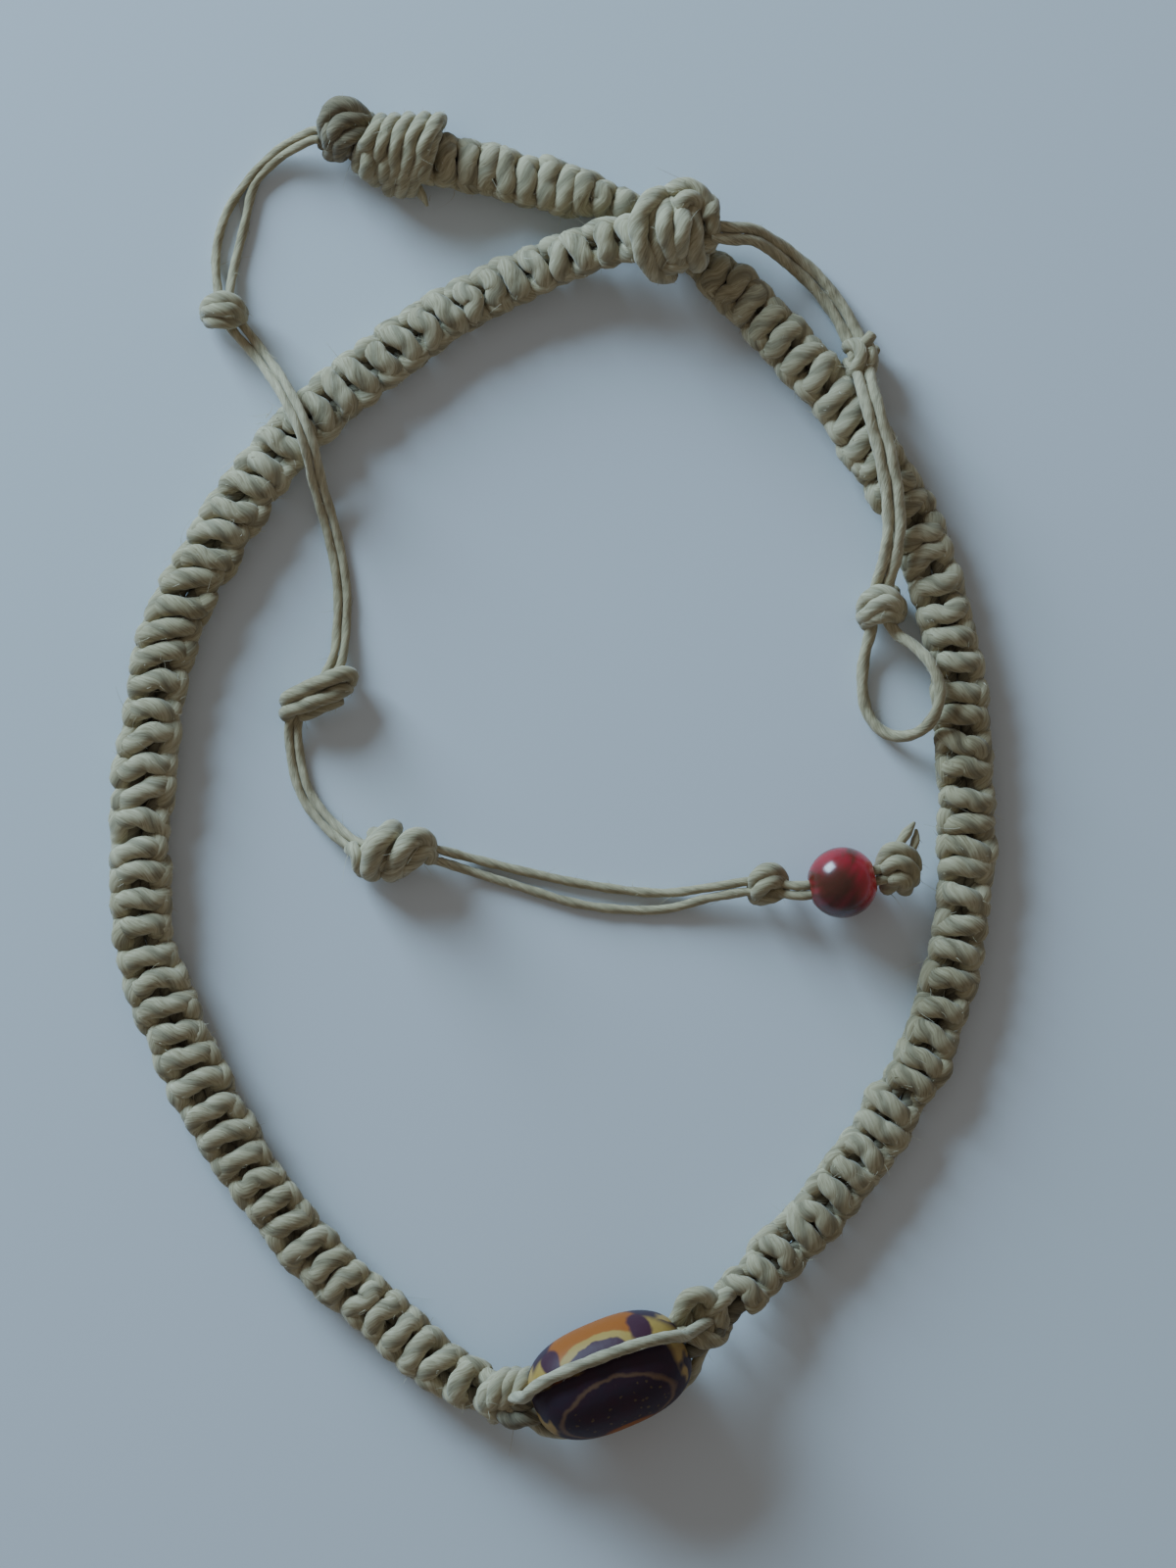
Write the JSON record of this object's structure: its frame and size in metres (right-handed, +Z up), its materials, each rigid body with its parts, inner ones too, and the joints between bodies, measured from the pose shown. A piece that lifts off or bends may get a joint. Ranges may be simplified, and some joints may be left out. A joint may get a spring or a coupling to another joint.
{
  "type": "knotted cord necklace",
  "caption": "Knotted hemp choker with a barrel-shaped dyed bead at the front, a cord tail with knots and a small bead as its button, and a looped cord tail that closes over it.",
  "frame": {"origin": "middle of the necklace's footprint, on the surface it lies on", "axes": "+Z up from that surface, +Y from the big bead at the front towards the two ends, +X towards the side that the loop tail lies on"},
  "size_m": [0.0998, 0.1511, 0.0139],
  "materials": {
    "hemp_band": "knotted natural hemp cord, matt, slightly hairy",
    "hemp_core": "twisted natural hemp cord",
    "hemp_knot": "knotted natural hemp cord, darker in its grooves",
    "hemp_cord": "twisted natural hemp cord, matt",
    "dyed_bead": "carved bead dyed dark brown over amber, softly polished",
    "red_glass": "swirled red glass, glossy"
  },
  "bodies": {
    "necklace": {"right_band_top": "hemp_band", "right_band_middle": "hemp_band", "right_band_bottom": "hemp_band", "left_band_bottom": "hemp_band", "left_band_middle": "hemp_band", "left_band_top": "hemp_band", "narrow_neck": "hemp_band", "button_end_band": "hemp_band", "button_end_whipping": "hemp_knot", "whipping_cord_end": "hemp_cord", "button_end_knot": "hemp_knot", "inner_core_cord": "hemp_core", "outer_core_cord": "hemp_core", "right_bead_knot": "hemp_knot", "left_bead_knot": "hemp_knot", "front_lashing_cord": "hemp_cord", "back_lashing_cord": "hemp_cord"},
    "focal_bead": {"focal_bead": "dyed_bead"},
    "loop_end": {"loop_end_band": "hemp_band", "loop_end_inner_core": "hemp_core", "loop_end_outer_core": "hemp_core", "loop_end_wrap": "hemp_knot", "loop_end_knot": "hemp_knot"},
    "loop_tail": {"loop_tail_cord": "hemp_cord", "loop_spacing_knot": "hemp_knot", "loop_base_knot": "hemp_knot"},
    "button_tail": {"button_cord_left": "hemp_cord", "button_cord_right": "hemp_cord", "upper_spacing_knot": "hemp_knot", "middle_spacing_knot": "hemp_knot", "lower_spacing_knot": "hemp_knot"},
    "bead_tail": {"bead_cord_upper": "hemp_cord", "bead_cord_lower": "hemp_cord", "bead_keeper_knot": "hemp_knot", "bead_stopper_knot": "hemp_knot", "stopper_cord_ends": "hemp_cord"},
    "red_bead": {"red_bead": "red_glass"}
  },
  "joints": [
    {"name": "focal_bead_roll", "type": "hinge", "parent": "necklace", "child": "focal_bead", "pos_m": [0.0063, -0.0679, 0.0063], "axis": [0.9205, 0.3907, 0], "continuous": true},
    {"name": "loop_end_lift", "type": "hinge", "parent": "necklace", "child": "loop_end", "pos_m": [-0.01484, 0.04932, 0.0046], "axis": [0.6, -0.8, 0], "range_deg": [0, 40]},
    {"name": "loop_tail_lift", "type": "hinge", "parent": "loop_end", "child": "loop_tail", "pos_m": [0.019, 0.06, 0.0072], "axis": [-0.866, -0.5, 0], "range_deg": [0, 60]},
    {"name": "button_tail_lift", "type": "hinge", "parent": "necklace", "child": "button_tail", "pos_m": [-0.0272, 0.0713, 0.0034], "axis": [-1, 0, 0], "range_deg": [0, 60]},
    {"name": "bead_tail_fold", "type": "hinge", "parent": "button_tail", "child": "bead_tail", "pos_m": [-0.0133, -0.0098, 0.0028], "axis": [0, -1, 0], "range_deg": [0, 80]},
    {"name": "red_bead_spin", "type": "hinge", "parent": "bead_tail", "child": "red_bead", "pos_m": [0.0325, -0.01275, 0.00405], "axis": [0.9781, 0.2079, 0], "continuous": true}
  ]
}
